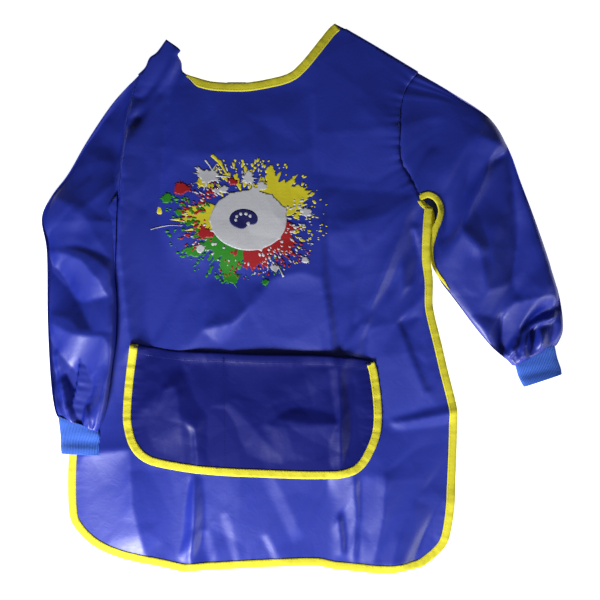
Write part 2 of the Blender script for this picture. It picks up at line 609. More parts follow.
def sheet(name, outlines, spacing, top_fn, thickness, material):
    xy, faces = fill(outlines, spacing)
    top = top_fn(xy)
    return new_object(name, *with_thickness(xy, faces, top, top - thickness), material)


def wall_faces(rows, around):
    """Faces round a tube of rings, without its ends."""
    faces = []
    for k in range(rows - 1):
        for i in range(around):
            j = (i + 1) % around
            faces.append([k * around + i, k * around + j,
                          (k + 1) * around + j, (k + 1) * around + i])
    return faces


def tube_faces(rows, around):
    """Faces round a tube, with a cap at each end."""
    faces = wall_faces(rows, around)
    faces.append(list(range(around))[::-1])
    faces.append([(rows - 1) * around + i for i in range(around)])
    return faces


# Section across folded tape: share of its width, and height above or below the cloth's face.
TAPE_UPPER = [(1, 0.15), (1, 0.75), (0.86, 0.95), (0.55, 1.0), (0.2, 1.05), (-0.02, 0.85),
              (-0.1, 0.3)]
TAPE_SECTION = TAPE_UPPER + [(share, -up) for share, up in reversed(TAPE_UPPER)]


def tape_points(edge, inward, width, height_at, lift=0.0, seed=0):
    """The points of folded tape along an edge; height_at gives the cloth's upper face."""
    s = run_lengths(edge[:, :2])
    wave = 0.12 * waves(s, seed + 20, (7, 12, 19))
    rings = []
    for share, up in TAPE_SECTION:
        xy = edge[:, :2] + inward * (share * width + 0.25 * wave[:, None])
        z = height_at(xy) - TAPE_SINK + lift
        rings.append(np.column_stack([xy, z + up * (1 + 0.15 * wave)]))
    return np.stack(rings, axis=1)


def tape(name, edge, inward, width, height_at, material, lift=0.0, seed=0):
    rings = tape_points(edge, inward, width, height_at, lift, seed)
    rows, around = rings.shape[:2]
    faces = tube_faces(rows, around)
    obj = new_object(name, rings.reshape(-1, 3), faces, material)
    fix_normals(obj)
    return obj


def fix_normals(obj):
    """Turns the faces outwards if the closed mesh has been made inside out."""
    mesh = obj.data
    mesh.calc_loop_triangles()
    v = np.empty(len(mesh.vertices) * 3)
    mesh.vertices.foreach_get("co", v)
    v = v.reshape(-1, 3)
    t = np.empty(len(mesh.loop_triangles) * 3, int)
    mesh.loop_triangles.foreach_get("vertices", t)
    t = t.reshape(-1, 3)
    a, b, c = v[t[:, 0]], v[t[:, 1]], v[t[:, 2]]
    if np.einsum("ij,ij->i", a, np.cross(b, c)).sum() < 0:
        mesh.flip_normals()


def grid_normals(grid):
    """Normals of a grid of points that is closed across its columns."""
    along = np.gradient(grid, axis=0)
    across = (np.roll(grid, -1, axis=1) - np.roll(grid, 1, axis=1)) / 2
    n = np.cross(across, along)
    return n / np.maximum(np.linalg.norm(n, axis=2, keepdims=True), 1e-9)


def thick_tube(name, grid, thickness, material):
    """An open tube of cloth: an outer wall, an inner one and the two rims."""
    rows, around = grid.shape[:2]
    n = grid_normals(grid)
    middle = grid.mean(1, keepdims=True)
    if ((grid - middle) * n).sum() < 0:
        n = -n
    inner = grid - thickness * n
    points = np.vstack([grid.reshape(-1, 3), inner.reshape(-1, 3)])
    count = rows * around
    faces = []
    for a, b, c, d in wall_faces(rows, around):
        faces += [[a, b, c, d], [d + count, c + count, b + count, a + count]]
    last = (rows - 1) * around
    for i in range(around):
        j = (i + 1) % around
        faces.append([i, i + count, j + count, j])
        faces.append([last + i, last + j, last + j + count, last + i + count])
    obj = new_object(name, points, faces, material)
    fix_normals(obj)
    return obj


def across(path, shares):
    """Points at shares of a section's line."""
    fine = curve(path, 12)
    return np.stack([np.interp(shares * (len(fine) - 1), np.arange(len(fine)), fine[:, k])
                     for k in range(2)], axis=1)


def sleeve_grid(sections, rows, half):
    """Plan position, underside, height and shares for a grid along and across a sleeve."""
    shares = 0.5 - 0.5 * np.cos(np.linspace(0, math.pi, half + 1))
    plan = np.stack([across(s[0], shares) for s in sections])
    low = np.array([[s[1] + (s[2] - s[1]) * t for t in shares] for s in sections])
    tall = np.array([s[3] for s in sections], float)
    middle = plan.mean(1)
    run = run_lengths(middle)
    at = np.linspace(0, run[-1], rows)
    knots = np.interp(at, run, np.arange(len(run)))

    def along(values):
        k = np.clip(knots.astype(int), 0, len(values) - 2)
        t = (knots - k).reshape([-1] + [1] * (values.ndim - 1))
        a = values[np.maximum(k - 1, 0)]
        b, c = values[k], values[k + 1]
        d = values[np.minimum(k + 2, len(values) - 1)]
        return 0.5 * (2 * b + (c - a) * t + (2 * a - 5 * b + 4 * c - d) * t * t
                      + (3 * b - a - 3 * c + d) * t ** 3)

    return along(plan), along(low), along(tall), shares, at


def height_lookup(points):
    """Height of a cloud of points near any place in plan."""
    tree = KDTree(len(points))
    for i, (x, y, _) in enumerate(points):
        tree.insert((x, y, 0), i)
    tree.balance()
    heights = points[:, 2]

    def at(xy):
        out = np.empty(len(xy))
        for i, (x, y) in enumerate(np.asarray(xy)[:, :2]):
            near = tree.find_n((x, y, 0), 4)
            w = [1 / (d + 0.3) for _, _, d in near]
            out[i] = sum(k * heights[j] for k, (_, j, _) in zip(w, near)) / sum(w)
        return out
    return at


def sleeve_points(sections, far_line, folds, creases, seed, armhole_share, tilt=0):
    """The outer wall of a sleeve: its upper and its lower layer, each as a grid of points."""
    plan, low, tall, shares, at = sleeve_grid(sections, SLEEVE_ROWS, SLEEVE_COLUMNS)
    far = sleeve_grid([(far_line,) + sections[0][1:]] + sections[1:],
                      SLEEVE_ROWS, SLEEVE_COLUMNS)[0]
    flat = plan.reshape(-1, 2)
    lens = (1 - np.abs(2 * shares - 1) ** 4) ** 0.6
    middle = low + tall[:, None] * 0.4
    half_height = tall[:, None] * 0.4 * np.ones_like(low)
    near = 1 - smooth(at / ARMHOLE_REACH)
    seam = front_z(plan[0]) - 0.1
    joined = shares <= armhole_share
    if not joined.all():
        k = joined.sum() - 1
        seam[~joined] = np.interp(shares[~joined], [shares[k], 1], [seam[k], 5.5])
    foot = np.full(SLEEVE_COLUMNS + 1, 2.0)
    foot[-1] = 3.0
    middle = near[:, None] * (seam + foot) / 2 + (1 - near[:, None]) * middle
    half_height = near[:, None] * (seam - foot) / 2 + (1 - near[:, None]) * half_height
    shape = near[:, None] * lens ** 0.2 + (1 - near[:, None]) * lens
    top, bottom = middle + half_height * shape, middle - half_height * shape
    relief = (folds(flat) + sum(crease_height(flat, c) for c in creases)).reshape(low.shape)
    relief += sum(facet_height(flat, net) for net in SLEEVE_NETS).reshape(low.shape)
    relief += tilt * (shares - 0.6)
    relief *= smooth(at / 26)[:, None] * lens ** 0.7
    end = (at[-1] - at)[:, None]
    turns = PLEATS * shares + 0.8 * np.sin(5 * shares + seed)
    pleats = (0.5 + 0.5 * np.sin(2 * math.pi * turns)) ** 1.4
    gather = 1.1 * np.exp(-end / 14) * (pleats - 0.42) * lens ** 0.5 * smooth(end / 7 + 0.35)
    puffed = 2.4 * np.exp(-((end - 14) / 14) ** 2) * lens
    top = top + relief + gather + puffed
    puckers = waves(shares * ARMHOLE_LENGTH, seed, (9, 14, 21))
    top += 0.5 * np.exp(-at / 9)[:, None] * puckers * smooth(at / 4)[:, None]
    top -= 1.0 * np.exp(-(at[:, None] / 2.6) ** 2) * joined
    bottom = np.maximum(bottom + 0.25 * relief - 0.3 * gather, 0.7)
    over = inside(flat, FRONT_OUTLINE).reshape(low.shape)
    edge = nearest(flat, HEM_RUN)[:, 0].reshape(low.shape)
    floor = np.where(over | (edge < 6), front_z(flat).reshape(low.shape) + 1.6, 0)
    floor *= (at > 30)[:, None]
    bottom = np.maximum(bottom, floor)
    top = np.maximum(top, bottom + 1.4)
    return (np.concatenate([plan, top[..., None]], 2),
            np.concatenate([far, bottom[..., None]], 2))


def ring_grid(top, bottom):
    """One closed ring of points for each row, over the top and back underneath."""
    return np.concatenate([top, bottom[:, -2:0:-1]], axis=1)


def tube_points(sections, rows, half, power):
    plan, low, tall, shares, at = sleeve_grid(sections, rows, half)
    lens = (1 - np.abs(2 * shares - 1) ** power) ** (1 / power)
    middle = low + tall[:, None] / 2
    top = middle + tall[:, None] / 2 * lens
    bottom = middle - tall[:, None] / 2 * lens
    return (np.concatenate([plan, top[..., None]], 2),
            np.concatenate([plan, bottom[..., None]], 2), shares, at)


# ---- node groups ----

def wire(tree, *links):
    """Joins sockets, each link given as a node, its output, a node and its input."""
    for a, out, b, into in links:
        tree.links.new(a.outputs[out], b.inputs[into])


def node(tree, kind, **settings):
    n = tree.nodes.new(kind)
    for key, value in settings.items():
        setattr(n, key, value)
    return n


def set_inputs(n, **values):
    for key, value in values.items():
        n.inputs[key.replace("_", " ")].default_value = value


def geometry_group(name, sockets):
    tree = bpy.data.node_groups.new(name, "GeometryNodeTree")
    tree.interface.new_socket("Geometry", in_out="INPUT", socket_type="NodeSocketGeometry")
    for label, kind, value in sockets:
        s = tree.interface.new_socket(label, in_out="INPUT", socket_type=kind)
        if value is not None:
            s.default_value = value
    tree.interface.new_socket("Geometry", in_out="OUTPUT", socket_type="NodeSocketGeometry")
    return tree, tree.nodes.new("NodeGroupInput"), tree.nodes.new("NodeGroupOutput")


def stitch_group():
    """Stitches lying end to end along a line."""
    tree, given, result = geometry_group("Row of stitches", [
        ("Pitch", "NodeSocketFloat", 0.0034), ("Length", "NodeSocketFloat", 0.0026),
        ("Thread", "NodeSocketFloat", 0.0005), ("Unevenness", "NodeSocketFloat", 0.1),
        ("Seed", "NodeSocketInt", 3), ("Material", "NodeSocketMaterial", None)])
    line = node(tree, "GeometryNodeMeshToCurve")
    even = node(tree, "GeometryNodeResampleCurve", mode="LENGTH")
    way = node(tree, "GeometryNodeInputTangent")
    turn = node(tree, "FunctionNodeAlignRotationToVector", axis="X")
    stitch = node(tree, "GeometryNodeMeshUVSphere")
    set_inputs(stitch, Segments=6, Rings=4, Radius=0.5)
    size = node(tree, "ShaderNodeCombineXYZ")
    least = node(tree, "ShaderNodeMath", operation="SUBTRACT")
    least.inputs[0].default_value = 1.0
    vary = node(tree, "FunctionNodeRandomValue", data_type="FLOAT")
    vary.inputs["Max"].default_value = 1.0
    scaled = node(tree, "ShaderNodeVectorMath", operation="SCALE")
    copies = node(tree, "GeometryNodeInstanceOnPoints")
    real = node(tree, "GeometryNodeRealizeInstances")
    soft = node(tree, "GeometryNodeSetShadeSmooth")
    paint = node(tree, "GeometryNodeSetMaterial")
    wire(tree, (given, "Geometry", line, "Mesh"), (line, "Curve", even, "Curve"),
         (given, "Pitch", even, "Length"), (way, "Tangent", turn, "Vector"),
         (given, "Length", size, "X"), (given, "Thread", size, "Y"), (given, "Thread", size, "Z"),
         (given, "Unevenness", least, 1), (least, 0, vary, 2), (given, "Seed", vary, "Seed"),
         (size, 0, scaled, 0), (vary, 1, scaled, "Scale"), (even, "Curve", copies, "Points"),
         (stitch, "Mesh", copies, "Instance"), (turn, "Rotation", copies, "Rotation"),
         (scaled, 0, copies, "Scale"), (copies, "Instances", soft, "Geometry"),
         (soft, "Geometry", real, "Geometry"), (real, "Geometry", paint, "Geometry"),
         (given, "Material", paint, "Material"), (paint, "Geometry", result, "Geometry"))
    return tree


def rib_group():
    """A round rib or thread that follows a line."""
    tree, given, result = geometry_group("Rib along a line", [
        ("Radius", "NodeSocketFloat", 0.0008), ("Sides", "NodeSocketInt", 8),
        ("Material", "NodeSocketMaterial", None)])
    line = node(tree, "GeometryNodeMeshToCurve")
    circle = node(tree, "GeometryNodeCurvePrimitiveCircle")
    swept = node(tree, "GeometryNodeCurveToMesh")
    swept.inputs["Fill Caps"].default_value = True
    real = node(tree, "GeometryNodeRealizeInstances")
    soft = node(tree, "GeometryNodeSetShadeSmooth")
    paint = node(tree, "GeometryNodeSetMaterial")
    wire(tree, (given, "Geometry", line, "Mesh"), (given, "Radius", circle, "Radius"),
         (given, "Sides", circle, "Resolution"), (line, "Curve", swept, "Curve"),
         (circle, "Curve", swept, "Profile Curve"), (swept, "Mesh", soft, "Geometry"),
         (soft, "Geometry", real, "Geometry"), (real, "Geometry", paint, "Geometry"),
         (given, "Material", paint, "Material"), (paint, "Geometry", result, "Geometry"))
    return tree


def made_once(name, maker):
    return bpy.data.node_groups.get(name) or maker()


def along_lines(name, lines, group, material, **inputs):
    """Runs a geometry group over lines in millimetres and keeps the result as a plain mesh."""
    points, edges = [], []
    for line in lines:
        start = len(points)
        points += (np.asarray(line, float) * MM).tolist()
        edges += [(start + i, start + i + 1) for i in range(len(line) - 1)]
    mesh = bpy.data.meshes.new(name)
    mesh.from_pydata(points, edges, [])
    obj = bpy.data.objects.new(name, mesh)
    bpy.context.scene.collection.objects.link(obj)
    modifier = obj.modifiers.new("Made", "NODES")
    modifier.node_group = group
    sockets = {i.name: i.identifier for i in group.interface.items_tree if i.in_out == "INPUT"}
    modifier[sockets["Material"]] = material
    for key, value in inputs.items():
        modifier[sockets[key]] = value
    obj.update_tag()
    seen = obj.evaluated_get(bpy.context.evaluated_depsgraph_get())
    plain = bpy.data.meshes.new_from_object(seen)
    obj.modifiers.clear()
    obj.data = plain
    plain.name = name
    if len(plain.polygons) == 0:
        raise RuntimeError(f"{name}: nothing was made along the line")
    return obj


def stitches(name, lines, colour, seed):
    sizes = bpy.context.scene.smock_sizes
    return along_lines(name, lines, made_once("Row of stitches", stitch_group), colour,
                       Pitch=sizes.stitch_pitch, Length=sizes.stitch_length,
                       Thread=sizes.thread, Seed=seed)


def threads(name, lines, colour, radius):
    return along_lines(name, lines, made_once("Rib along a line", rib_group), colour, Radius=radius)


# ---- materials ----

WAVES_PER_SCALE = 20.0  # bands per metre that a wave texture gives for each unit of scale


def cloth_surface():
    """Fine weave and small crinkles as one normal, with masks of both for roughness and colour."""
    tree = bpy.data.node_groups.new("Cloth surface", "ShaderNodeTree")
    for label, value in (("Threads per metre", 1400.0), ("Weave depth", 0.00004),
                         ("Crinkle size", 0.012), ("Crinkle depth", 0.0004)):
        s = tree.interface.new_socket(label, in_out="INPUT", socket_type="NodeSocketFloat")
        s.default_value = value
    tree.interface.new_socket("Normal", in_out="OUTPUT", socket_type="NodeSocketVector")
    tree.interface.new_socket("Weave", in_out="OUTPUT", socket_type="NodeSocketFloat")
    tree.interface.new_socket("Crinkle", in_out="OUTPUT", socket_type="NodeSocketFloat")
    given, result = tree.nodes.new("NodeGroupInput"), tree.nodes.new("NodeGroupOutput")
    place = node(tree, "ShaderNodeTexCoord")
    weave = node(tree, "ShaderNodeMath", operation="MULTIPLY")
    for k, way in enumerate(("X", "Y")):
        band = node(tree, "ShaderNodeTexWave", wave_type="BANDS", bands_direction=way)
        set_inputs(band, Distortion=0.0, Detail=0.0)
        scale = node(tree, "ShaderNodeMath", operation="DIVIDE")
        scale.inputs[1].default_value = WAVES_PER_SCALE
        wire(tree, (given, "Threads per metre", scale, 0), (scale, 0, band, "Scale"),
             (place, "Object", band, "Vector"), (band, "Fac", weave, k))
    one_over = node(tree, "ShaderNodeMath", operation="DIVIDE")
    one_over.inputs[0].default_value = 1.0
    noise = node(tree, "ShaderNodeTexNoise", noise_dimensions="3D")
    set_inputs(noise, Detail=3.0, Roughness=0.5, Distortion=0.6)
    centred = node(tree, "ShaderNodeMath", operation="SUBTRACT")
    centred.inputs[1].default_value = 0.5
    ridges = node(tree, "ShaderNodeMath", operation="ABSOLUTE")
    fine, broad = node(tree, "ShaderNodeBump"), node(tree, "ShaderNodeBump")
    set_inputs(fine, Strength=0.5)
    set_inputs(broad, Strength=1.0)
    wire(tree, (given, "Crinkle size", one_over, 1), (place, "Object", noise, "Vector"),
         (one_over, 0, noise, "Scale"), (noise, "Fac", centred, 0), (centred, 0, ridges, 0),
         (weave, 0, fine, "Height"), (given, "Weave depth", fine, "Distance"),
         (ridges, 0, broad, "Height"), (given, "Crinkle depth", broad, "Distance"),
         (fine, "Normal", broad, "Normal"), (broad, "Normal", result, "Normal"),
         (weave, 0, result, "Weave"), (noise, "Fac", result, "Crinkle"))
    return tree


def material(name, colour, roughness, threads_per_metre=1400, weave=0.00004, crinkle_size=0.012,
             crinkle=0.0004, specular=0.5, sheen=0.0, vary=0.06):
    """A cloth, thread or ink finish; one that has been made already is used again."""
    found = bpy.data.materials.get(name)
    if found:
        return found
    m = bpy.data.materials.new(name)
    m.use_nodes = True
    tree = m.node_tree
    shader = tree.nodes["Principled BSDF"]
    set_inputs(shader, Roughness=roughness, Specular_IOR_Level=specular, Sheen_Weight=sheen,
               Sheen_Roughness=0.4)
    surface = node(tree, "ShaderNodeGroup", node_tree=made_once("Cloth surface", cloth_surface))
    set_inputs(surface, Threads_per_metre=threads_per_metre, Weave_depth=weave,
               Crinkle_size=crinkle_size, Crinkle_depth=crinkle)
    tint = node(tree, "ShaderNodeMix", data_type="RGBA", blend_type="MIX")
    tint.inputs["A"].default_value = [c * (1 - vary) for c in colour[:3]] + [1]
    tint.inputs["B"].default_value = [min(1, c * (1 + vary)) for c in colour[:3]] + [1]
    wire(tree, (surface, "Normal", shader, "Normal"), (surface, "Crinkle", tint, "Factor"),
         (tint, "Result", shader, "Base Color"))
    return m


def royal():
    c = bpy.context.scene.smock_colours
    return material("Royal coated nylon", c.royal, 0.48, weave=0.00001, specular=0.85,
                    crinkle=0.00025)


def navy():
    c = bpy.context.scene.smock_colours
    return material("Navy coated nylon", c.navy, 0.46, weave=0.00001, specular=0.32,
                    crinkle=0.00025)


def yellow():
    c = bpy.context.scene.smock_colours
    return material("Yellow bias tape", c.tape, 0.7, 1100, 0.00012, 0.004, 0.0004, specular=0.3,
                    sheen=0.1)


def yellow_thread():
    c = bpy.context.scene.smock_colours
    return material("Yellow thread", [k * 0.86 for k in c.tape], 0.55, 3000, 0.00004, 0.003, 0.0)


def navy_thread():
    c = bpy.context.scene.smock_colours
    return material("Navy thread", [k * 0.9 for k in c.navy], 0.7, 3000, 0.00004, 0.003, 0.0,
                    specular=0.3)


def knit():
    c = bpy.context.scene.smock_colours
    return material("Sky rib knit", c.knit, 0.8, 900, 0.00002, 0.003, 0.0002, specular=0.25,
                    sheen=0.35)


def ink(name, colour):
    return material(name, colour, 0.5, 1400, 0.00004, 0.012, 0.0003, specular=0.35, vary=0.03)


# ---- outlines ----

def outline(*paths, step=2.4):
    """One closed outline from paths that follow each other."""
    return np.vstack([spaced(curve(p), step)[:-1] for p in paths])


UNDERARM = [(156, 109), (150, 110), (145, 113), (141.5, 118), (138, 128)]
NECK_CORNER = [(52, 323), (40, 329)]
FRONT_OUTLINE = outline(NECK, RIGHT_SHOULDER_TOP, RIGHT_SHOULDER, RIGHT_ARMHOLE, RIGHT_SIDE, HEM,
                        LEFT_SIDE, UNDERARM, LEFT_ARMHOLE, LEFT_SHOULDER, NECK_CORNER)
POCKET_OUTLINE = outline(POCKET_EDGE, POCKET_MOUTH)
LEFT_BACK_OUTLINE = outline(LEFT_BACK_EDGE, [(131, 119), (138, 128)], LEFT_ARMHOLE, LEFT_SHOULDER,
                            [(52, 323), (50, 316)])
RIGHT_BACK_OUTLINE = outline(RIGHT_BACK_EDGE, [(-157, 293), (-162, 310)], RIGHT_SHOULDER,
                             RIGHT_ARMHOLE, [(-218, 118), (-213, 119)])


def bound_edge(name, edge, height_at, lift=0.0, seed=0, inward=None):
    """Folded yellow tape over an edge, with its row of stitches."""
    width = bpy.context.scene.smock_sizes.tape_width / MM
    inward = left_of(edge) if inward is None else inward
    cloth = tape(name, edge, inward, width, height_at, yellow(), lift, seed)
    xy = edge[:, :2] + inward * (TAPE_STITCHES_AT * width)
    line = np.column_stack([xy, height_at(xy) - TAPE_SINK + lift + 1.0])
    row = stitches(name + "_stitches", [line], yellow_thread(), seed=seed + 1)
    return cloth, row


def ride_all(pieces, body):
    for piece in pieces:
        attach(piece, body)


def blend_all(pieces, body, start, end):
    for piece in pieces:
        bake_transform(piece)


LEFT_FOLD = {"start": (0.1392, 0.15, 0), "end": (0.1992, 0.15, 0)}
RIGHT_FOLD = {"start": (-0.2085, 0.269, 0), "end": (-0.2583, 0.2733, 0)}
LEFT_FLAP_FOLD = {"start": (0.0905, 0.2175, 0), "end": (0.035, 0.1947, 0)}
RIGHT_FLAP_FOLD = {"start": (-0.185, 0.206, 0), "end": (-0.1279, 0.1876, 0)}


# ---- pieces ----

TABLE_HALF = 4
CAMERA_HEIGHT = 1.4
CLOTH_LEVEL = 0.008  # height that the view is set to
VIEW_WIDTH = 0.72  # what the camera takes in at that height
SENSOR = 36
LIGHTS = (  # name, place, aim, size and power
    ("key", (-0.5, -0.98, 0.52), (-0.05, -0.08, 0), 0.3, 24),
    ("fill", (0.95, -0.8, 0.45), (0.1, -0.05, 0), 0.5, 5),
)


class SMOCK_OT_stage(bpy.types.Operator):
    """Adds the table, the lights and the camera"""
    bl_idname = "smock.stage"
    bl_label = "Stage"

    def execute(self, context):
        scene = context.scene
        mesh = bpy.data.meshes.new("table")
        mesh.from_pydata([(TABLE_HALF * x, TABLE_HALF * y, 0)
                          for x, y in ((-1, -1), (1, -1), (1, 1), (-1, 1))], [], [(0, 1, 2, 3)])
        table = bpy.data.objects.new("table", mesh)
        scene.collection.objects.link(table)
        m = bpy.data.materials.new("Pale table")
        m.use_nodes = True
        set_inputs(m.node_tree.nodes["Principled BSDF"], Roughness=0.9, Specular_IOR_Level=0.1,
                   Base_Color=list(scene.smock_colours.table) + [1],
                   Emission_Color=(1, 1, 1, 1), Emission_Strength=0.95)
        mesh.materials.append(m)
        camera = bpy.data.objects.new("camera", bpy.data.cameras.new("camera"))
        scene.collection.objects.link(camera)
        camera.location = (-0.0024, -0.0018, CAMERA_HEIGHT)
        camera.data.sensor_width = SENSOR
        camera.data.lens = SENSOR * (CAMERA_HEIGHT - CLOTH_LEVEL) / VIEW_WIDTH
        camera.data.clip_start = 0.05
        scene.camera = camera
        for name, place, aim, size, power in LIGHTS:
            light = bpy.data.lights.new(name, "AREA")
            light.size, light.energy = size, power
            obj = bpy.data.objects.new(name, light)
            obj.location = place
            obj.rotation_euler = (Vector(aim) - Vector(place)).to_track_quat("-Z", "Y").to_euler()
            scene.collection.objects.link(obj)
        world = scene.world or bpy.data.worlds.new("World")
        scene.world = world
        world.use_nodes = True
        set_inputs(world.node_tree.nodes["Background"], Color=(1, 1, 1, 1), Strength=0.05)
        scene.view_settings.view_transform = "Standard"
        return {"FINISHED"}


class SMOCK_OT_front(bpy.types.Operator):
    """Makes the front panel with its neck and hem tape"""
    bl_idname = "smock.front"
    bl_label = "Front"

    def execute(self, context):
        thick = context.scene.smock_sizes.cloth / MM
        cloth = sheet("front_cloth", [FRONT_OUTLINE], 2.8, front_z, thick, royal())
        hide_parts("front_panel")
        left_over = (run_lengths(NECK_RUN)[-1] - run_lengths(NECK_RUN))[:, None]
        neck, neck_row = bound_edge("neck_tape", NECK_RUN, front_z, 0.1, 31,
                                    left_of(NECK_RUN) * (0.3 + 0.78 * smooth(left_over / 18)))
        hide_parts("neck_binding")
        hem, hem_row = bound_edge("hem_tape", HEM_RUN[13:], front_z, 0.0, 32)
        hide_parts("hem_binding")
        turn = spaced(curve(UNDERARM[:-1]), 1.6)
        under, under_row = bound_edge("underarm_tape", turn, front_z, -0.3, 39, left_of(turn) * 0.4)
        ride_all((cloth, neck, neck_row, hem, hem_row, under, under_row), "front")
        return {"FINISHED"}


MOUTH_FOLD_WIDTH = 11


class SMOCK_OT_pocket(bpy.types.Operator):
    """Makes the divided pocket with its tape, hem and stitching"""
    bl_idname = "smock.pocket"
    bl_label = "Pocket"

    def execute(self, context):
        thick = context.scene.smock_sizes.cloth / MM
        cloth = sheet("pocket_cloth", [POCKET_OUTLINE], 2.2, pocket_z, thick, navy())
        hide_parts("pocket_panel")
        mouth = spaced(curve(POCKET_MOUTH), 2.4)
        inward = left_of(mouth)
        fold = tape("pocket_mouth_fold", mouth, inward, MOUTH_FOLD_WIDTH,
                    lambda xy: pocket_z(xy) - 0.7, navy(), 0, 40)
        edge, edge_row = bound_edge("pocket_tape", POCKET_RUN, pocket_z, 0.1, 33)
        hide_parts("pocket_binding")
        hem_xy = mouth + inward * 9
        hem_line = np.column_stack([hem_xy, pocket_z(hem_xy) + 0.1])
        hem_row = stitches("pocket_hem_stitches", [hem_line], navy_thread(), seed=41)
        line = spaced([(-94.5, -76), (-93.5, -140), (-92.5, -203)], 2)
        line = np.column_stack([line, pocket_z(line) + 0.1])
        divider = stitches("pocket_divider_stitches", [line], navy_thread(), seed=42)
        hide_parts("pocket_divider_stitching")
        bars = []
        for x, y, way in ((-201, -58, 1), (82.5, -79, -1), (-94.5, -72, 0)):
            for k in range(4):
                side = k - 1.5
                a = np.array([x, y - side * 0.6] if way else [x + side * 0.5, y])
                b = a + np.array([7 * way, -1.0] if way else [0, -5])
                bar = spaced([a, b], 1)
                lift = 1.25 if way else 0.5
                bars.append(np.column_stack([bar, pocket_z(bar) + lift]))
        tacks = threads("pocket_bar_tack_threads", bars, navy_thread(), 0.0002)
        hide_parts("pocket_bar_tacks")
        pieces = [fold, edge, edge_row, hem_row, divider, tacks]
        ride_all([cloth] + pieces, "front")
        return {"FINISHED"}


class SMOCK_OT_backs(bpy.types.Operator):
    """Makes the two back panels with their tape, the closure tapes and the neck label"""
    bl_idname = "smock.backs"
    bl_label = "Backs"

    def execute(self, context):
        thick = context.scene.smock_sizes.cloth / MM
        left = sheet("left_back_cloth", [LEFT_BACK_OUTLINE], 3.4, back_z, thick, royal())
        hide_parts("left_back_yoke", "left_back_flap")
        right = sheet("right_back_cloth", [RIGHT_BACK_OUTLINE], 3.4, back_z, thick, royal())
        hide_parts("right_back_yoke", "right_back_flap")
        left_edge, right_edge = (spaced(curve(e), 2.5) for e in (LEFT_BACK_EDGE, RIGHT_BACK_EDGE))
        left_tape, left_row = bound_edge("left_back_tape", left_edge, back_z, 0, 34)
        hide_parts("left_back_binding")
        right_tape, right_row = bound_edge("right_back_tape", right_edge, back_z, 0, 35)
        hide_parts("right_back_binding")
        colours = context.scene.smock_colours
        fuzzy = material("Closure tape", colours.closure, 0.9, 700, 0.0006, 0.002, 0.0008,
                         specular=0.2, sheen=0.3)
        hook = self.patch("hook_patch", "hook_tape", fuzzy, lambda xy: back_z(xy) + 1.0, 0.9)
        loop = self.patch("loop_patch", "loop_tape", fuzzy, lambda xy: back_z(xy) - 0.5, 0.9)
        for piece, node_name in ((hook, "hook_tape"), (loop, "loop_tape")):
            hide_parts(node_name)
        satin = material("White satin label", colours.white, 0.4, 2400, 0.00003, 0.004, 0.0002)
        label = self.patch("label_patch", "neck_label", satin, lambda xy: back_z(xy) + 1.6, 0.3)
        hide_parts("neck_label")
        blend_all((left, left_tape, left_row, hook), "left_flap", **LEFT_FLAP_FOLD)
        blend_all((right, right_tape, right_row, loop, label), "right_flap", **RIGHT_FLAP_FOLD)
        return {"FINISHED"}

    def patch(self, name, node_name, finish, top, thick):
        """A small cloth patch with round corners, in its node's place."""
        low, high = (np.array(c[:2]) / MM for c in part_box(node_name))
        r = 2.5
        corners = [(high - r, 0), (np.array([low[0] + r, high[1] - r]), 90), (low + r, 180),
                   (np.array([high[0] - r, low[1] + r]), 270)]
        angles = [(c, math.radians(a + k * 15)) for c, a in corners for k in range(7)]
        ring = [c + r * np.array([math.cos(a), math.sin(a)]) for c, a in angles]
        ring = np.vstack([ring, ring[:1]])
        return sheet(name, [spaced(ring, 1.6)[:-1]], 1.6, top, thick, finish)


def seam_roll(name, line, node_name):
    """The rolled cloth along a shoulder, from the front down to the back."""
    run = spaced(curve(line), 2.4)
    out = -left_of(run)
    top, bottom = front_z(run) + 0.1, back_z(run) - 0.5
    middle, half = (top + bottom) / 2, (top - bottom) / 2
    rings = []
    for a in np.linspace(0, 2 * math.pi, 15)[:-1]:
        side = 1.6 if math.sin(a) > 0 else 1.0
        xy = run + out * (side * math.sin(a))
        rings.append(np.column_stack([xy, middle + half * math.cos(a)]))
    grid = np.stack(rings, axis=1)
    obj = new_object(name, grid.reshape(-1, 3), tube_faces(*grid.shape[:2]), royal())
    fix_normals(obj)
    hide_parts(node_name)
    return obj


class SMOCK_OT_seams(bpy.types.Operator):
    """Makes the shoulder seams and the stitching beside the seams"""
    bl_idname = "smock.seams"
    bl_label = "Seams"

    def execute(self, context):
        left = seam_roll("left_shoulder_roll", LEFT_SHOULDER, "left_shoulder_seam")
        right = seam_roll("right_shoulder_roll", RIGHT_SHOULDER, "right_shoulder_seam")
        ride_all((left, right), "front")
        return {"FINISHED"}


def cuff(name, sections, node_name):
    """A knitted cuff: a thick tube with ribs that run towards the hand."""
    sizes = bpy.context.scene.smock_sizes
    top, bottom, shares, at = tube_points(sections, 26, 44, 2.2)
    wave = 0.5 * np.sin(at / 4.2)[:, None] + 0.4 * np.sin(at[:, None] / 2.6 + 5 * shares)
    top[..., 2] += wave * smooth(at / 8)[:, None] * 0.8
    grid = ring_grid(top, bottom)
    tube = thick_tube(name, grid, 1.6, knit())
    n = grid_normals(grid)
    if ((grid - grid.mean(1, keepdims=True)) * n).sum() < 0:
        n = -n
    outer = grid - n * 0.15
    closed = np.concatenate([outer, outer[:, :1]], axis=1)
    girth = run_lengths(closed[13])
    ribs = []
    for d in np.arange(0, girth[-1], sizes.rib_pitch / MM):
        k = np.interp(d, girth, np.arange(len(girth)))
        a = min(int(k), closed.shape[1] - 2)
        ribs.append(closed[:, a] * (1 - k + a) + closed[:, a + 1] * (k - a))
    rib_piece = threads(name + "_ribs", ribs, knit(), sizes.rib_pitch * 0.28)
    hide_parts(node_name)
    return tube, rib_piece


